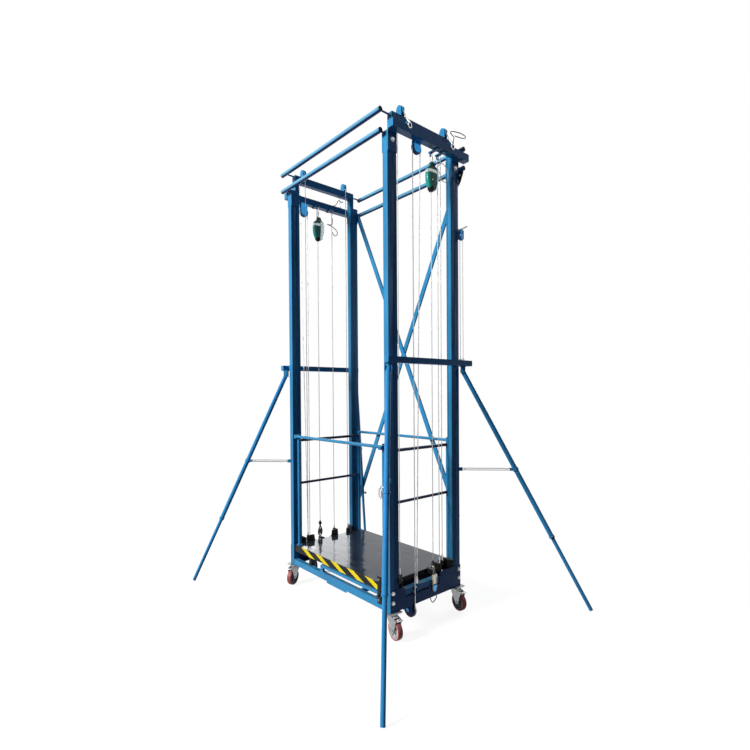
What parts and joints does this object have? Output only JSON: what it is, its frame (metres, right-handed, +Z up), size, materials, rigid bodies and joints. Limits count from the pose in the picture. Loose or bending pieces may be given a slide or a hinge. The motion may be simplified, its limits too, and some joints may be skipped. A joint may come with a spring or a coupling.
{
  "type": "electric lifting platform",
  "caption": "Electric lifting platform: nested post frames on braked castors raise a guarded deck by winch and wire ropes, steadied by folding telescopic legs and a cross brace.",
  "frame": {"origin": "on the floor under the middle of the base frame", "axes": "+X to the drive end, -Y to the entry side, +Z up"},
  "size_m": [2.4554, 1.9354, 3.39],
  "materials": {
    "blue_paint": "gloss paint",
    "black_paint": "semi-gloss paint",
    "deck_grey": "gloss",
    "hazard": "striped tape",
    "zinc": "zinc plated",
    "wire_rope": "galvanised strands",
    "red_wheel": "polyurethane",
    "green_shell": "moulded",
    "nylon": "matte",
    "sheave_iron": "oiled",
    "motor_grey": "satin paint"
  },
  "bodies": {
    "frame": {"outer_posts": "blue_paint", "outer_beams": "blue_paint", "beam_brackets": "blue_paint", "base_rails": "blue_paint", "base_ends": "blue_paint", "entry_step": "blue_paint", "cross_braces": "blue_paint", "lower_rails": "blue_paint", "mid_beams": "blue_paint", "castor_plates": "zinc", "frame_bolts": "zinc", "winch_frame": "blue_paint", "winch_motor": "motor_grey", "fall_arresters": "green_shell", "drum_rope": "wire_rope", "lift_ropes": "wire_rope", "lift_falls": "wire_rope", "carriage_anchors": "wire_rope", "stay_ropes": "wire_rope", "arrester_lines": "wire_rope"},
    "inner_stage": {"inner_posts": "blue_paint", "inner_beams": "blue_paint", "ear_brackets": "blue_paint", "upper_rails": "blue_paint", "stage_shoes": "nylon", "carriage_falls": "wire_rope"},
    "platform": {"deck_plate": "deck_grey", "deck_frame": "black_paint", "edge_strip": "hazard", "guard_rails": "blue_paint", "guide_shoes": "nylon", "rope_blocks": "black_paint"},
    "gate": {"gate_bar": "blue_paint"},
    "drum": {"rope_drum": "motor_grey"},
    "base_sheave_right": {"base_sheave_right": "sheave_iron"},
    "base_sheave_left": {"base_sheave_left": "sheave_iron"},
    "top_sheave_right": {"top_sheave_right": "blue_paint"},
    "top_sheave_left": {"top_sheave_left": "blue_paint"},
    "ear_sheaves_right": {"ear_sheaves_right": "blue_paint"},
    "ear_sheaves_left": {"ear_sheaves_left": "blue_paint"},
    "castor_fork_a": {"castor_fork_a": "zinc"},
    "castor_wheel_a": {"castor_wheel_a": "red_wheel"},
    "brake_pedal_a": {"brake_pedal_a": "zinc"},
    "leg_tube_a": {"leg_tube_a": "blue_paint"},
    "leg_foot_a": {"leg_foot_a": "blue_paint"},
    "castor_fork_b": {"castor_fork_b": "zinc"},
    "castor_wheel_b": {"castor_wheel_b": "red_wheel"},
    "brake_pedal_b": {"brake_pedal_b": "zinc"},
    "leg_tube_b": {"leg_tube_b": "blue_paint"},
    "leg_foot_b": {"leg_foot_b": "blue_paint"},
    "castor_fork_c": {"castor_fork_c": "zinc"},
    "castor_wheel_c": {"castor_wheel_c": "red_wheel"},
    "brake_pedal_c": {"brake_pedal_c": "zinc"},
    "leg_tube_c": {"leg_tube_c": "blue_paint"},
    "leg_foot_c": {"leg_foot_c": "blue_paint"},
    "castor_fork_d": {"castor_fork_d": "zinc"},
    "castor_wheel_d": {"castor_wheel_d": "red_wheel"},
    "brake_pedal_d": {"brake_pedal_d": "zinc"},
    "leg_tube_d": {"leg_tube_d": "blue_paint"},
    "leg_foot_d": {"leg_foot_d": "blue_paint"}
  },
  "joints": [
    {"name": "stage_lift", "type": "slide", "parent": "frame", "child": "inner_stage", "axis": [0, 0, 1], "range_m": [0, 1.15], "deforming": ["lift_falls", "carriage_anchors", "arrester_lines"]},
    {"name": "platform_lift", "type": "slide", "parent": "inner_stage", "child": "platform", "axis": [0, 0, 1], "range_m": [0, 1.15], "deforming": ["carriage_falls"]},
    {"name": "drum_spin", "type": "hinge", "parent": "frame", "child": "drum", "pos_m": [0.33, -0.14, 0.222], "axis": [0, 1, 0], "continuous": true},
    {"name": "base_sheave_right_spin", "type": "hinge", "parent": "frame", "child": "base_sheave_right", "pos_m": [0.563, -0.129, 0.12], "axis": [0, 1, 0], "continuous": true},
    {"name": "base_sheave_left_spin", "type": "hinge", "parent": "frame", "child": "base_sheave_left", "pos_m": [-0.563, -0.151, 0.12], "axis": [0, 1, 0], "continuous": true},
    {"name": "top_sheave_right_spin", "type": "hinge", "parent": "frame", "child": "top_sheave_right", "pos_m": [0.611, -0.094, 3.145], "axis": [1, 0, 0], "continuous": true},
    {"name": "top_sheave_left_spin", "type": "hinge", "parent": "frame", "child": "top_sheave_left", "pos_m": [-0.611, -0.186, 3.061], "axis": [1, 0, 0], "continuous": true},
    {"name": "ear_sheaves_right_spin", "type": "hinge", "parent": "inner_stage", "child": "ear_sheaves_right", "pos_m": [0.5795, 0, 3.356], "axis": [0, 1, 0], "continuous": true},
    {"name": "ear_sheaves_left_spin", "type": "hinge", "parent": "inner_stage", "child": "ear_sheaves_left", "pos_m": [-0.5795, 0, 3.356], "axis": [0, 1, 0], "continuous": true},
    {"name": "gate_lift", "type": "hinge", "parent": "platform", "child": "gate", "pos_m": [-0.515, -0.3345, 1.205], "axis": [0, -1, 0], "range_deg": [0, 85]},
    {"name": "castor_swivel_a", "type": "hinge", "parent": "frame", "child": "castor_fork_a", "pos_m": [-0.585, -0.31, 0.15], "axis": [0, 0, 1], "continuous": true},
    {"name": "castor_roll_a", "type": "hinge", "parent": "castor_fork_a", "child": "castor_wheel_a", "pos_m": [-0.56894, -0.34444, 0.0625], "axis": [0.9063, 0.4226, 0], "continuous": true},
    {"name": "brake_press_a", "type": "hinge", "parent": "castor_fork_a", "child": "brake_pedal_a", "pos_m": [-0.55795, -0.368, 0.131], "axis": [0.9063, 0.4226, 0], "range_deg": [0, 12]},
    {"name": "castor_swivel_b", "type": "hinge", "parent": "frame", "child": "castor_fork_b", "pos_m": [-0.585, 0.31, 0.15], "axis": [0, 0, 1], "continuous": true},
    {"name": "castor_roll_b", "type": "hinge", "parent": "castor_fork_b", "child": "castor_wheel_b", "pos_m": [-0.60106, 0.34444, 0.0625], "axis": [-0.9063, -0.4226, 0], "continuous": true},
    {"name": "brake_press_b", "type": "hinge", "parent": "castor_fork_b", "child": "brake_pedal_b", "pos_m": [-0.61205, 0.368, 0.131], "axis": [-0.9063, -0.4226, 0], "range_deg": [0, 12]},
    {"name": "castor_swivel_c", "type": "hinge", "parent": "frame", "child": "castor_fork_c", "pos_m": [0.585, -0.31, 0.15], "axis": [0, 0, 1], "continuous": true},
    {"name": "castor_roll_c", "type": "hinge", "parent": "castor_fork_c", "child": "castor_wheel_c", "pos_m": [0.62242, -0.3166, 0.0625], "axis": [0.1736, 0.9848, 0], "continuous": true},
    {"name": "brake_press_c", "type": "hinge", "parent": "castor_fork_c", "child": "brake_pedal_c", "pos_m": [0.64803, -0.32111, 0.131], "axis": [0.1736, 0.9848, 0], "range_deg": [0, 12]},
    {"name": "castor_swivel_d", "type": "hinge", "parent": "frame", "child": "castor_fork_d", "pos_m": [0.585, 0.31, 0.15], "axis": [0, 0, 1], "continuous": true},
    {"name": "castor_roll_d", "type": "hinge", "parent": "castor_fork_d", "child": "castor_wheel_d", "pos_m": [0.62242, 0.3034, 0.0625], "axis": [0.1736, 0.9848, 0], "continuous": true},
    {"name": "brake_press_d", "type": "hinge", "parent": "castor_fork_d", "child": "brake_pedal_d", "pos_m": [0.64803, 0.29889, 0.131], "axis": [0.1736, 0.9848, 0], "range_deg": [0, 12]},
    {"name": "leg_fold_a", "type": "hinge", "parent": "frame", "child": "leg_tube_a", "pos_m": [-0.62, -0.36, 1.702], "axis": [0.7071, -0.7071, 0], "range_deg": [0, 20], "deforming": ["stay_ropes"]},
    {"name": "leg_slide_a", "type": "slide", "parent": "leg_tube_a", "child": "leg_foot_a", "axis": [0.2999, 0.2999, 0.9056], "range_m": [0, 0.38]},
    {"name": "leg_fold_b", "type": "hinge", "parent": "frame", "child": "leg_tube_b", "pos_m": [-0.62, 0.36, 1.702], "axis": [-0.7071, -0.7071, 0], "range_deg": [0, 20], "deforming": ["stay_ropes"]},
    {"name": "leg_slide_b", "type": "slide", "parent": "leg_tube_b", "child": "leg_foot_b", "axis": [0.2999, -0.2999, 0.9056], "range_m": [0, 0.38]},
    {"name": "leg_fold_c", "type": "hinge", "parent": "frame", "child": "leg_tube_c", "pos_m": [0.62, -0.36, 1.702], "axis": [0.7071, 0.7071, 0], "range_deg": [0, 20], "deforming": ["stay_ropes"]},
    {"name": "leg_slide_c", "type": "slide", "parent": "leg_tube_c", "child": "leg_foot_c", "axis": [-0.2915, 0.2915, 0.9111], "range_m": [0, 0.38]},
    {"name": "leg_fold_d", "type": "hinge", "parent": "frame", "child": "leg_tube_d", "pos_m": [0.62, 0.36, 1.702], "axis": [-0.7071, 0.7071, 0], "range_deg": [0, 20], "deforming": ["stay_ropes"]},
    {"name": "leg_slide_d", "type": "slide", "parent": "leg_tube_d", "child": "leg_foot_d", "axis": [-0.3282, -0.3282, 0.8857], "range_m": [0, 0.38]}
  ],
  "couplings": [
    {"joint": "platform_lift", "follows": "stage_lift", "ratio": 1},
    {"joint": "drum_spin", "follows": "stage_lift", "rad_per_m": 23.095},
    {"joint": "base_sheave_right_spin", "follows": "stage_lift", "rad_per_m": 20.833},
    {"joint": "base_sheave_left_spin", "follows": "stage_lift", "rad_per_m": -20.833},
    {"joint": "top_sheave_right_spin", "follows": "stage_lift", "rad_per_m": 28.571},
    {"joint": "top_sheave_left_spin", "follows": "stage_lift", "rad_per_m": -28.571},
    {"joint": "ear_sheaves_right_spin", "follows": "stage_lift", "rad_per_m": 34.483},
    {"joint": "ear_sheaves_left_spin", "follows": "stage_lift", "rad_per_m": -34.483},
    {"joint": "leg_slide_a", "follows": "leg_fold_a", "m_per_rad": 1.08},
    {"joint": "leg_slide_b", "follows": "leg_fold_b", "m_per_rad": 1.08},
    {"joint": "leg_slide_c", "follows": "leg_fold_c", "m_per_rad": 1.08},
    {"joint": "leg_slide_d", "follows": "leg_fold_d", "m_per_rad": 1.08}
  ]
}
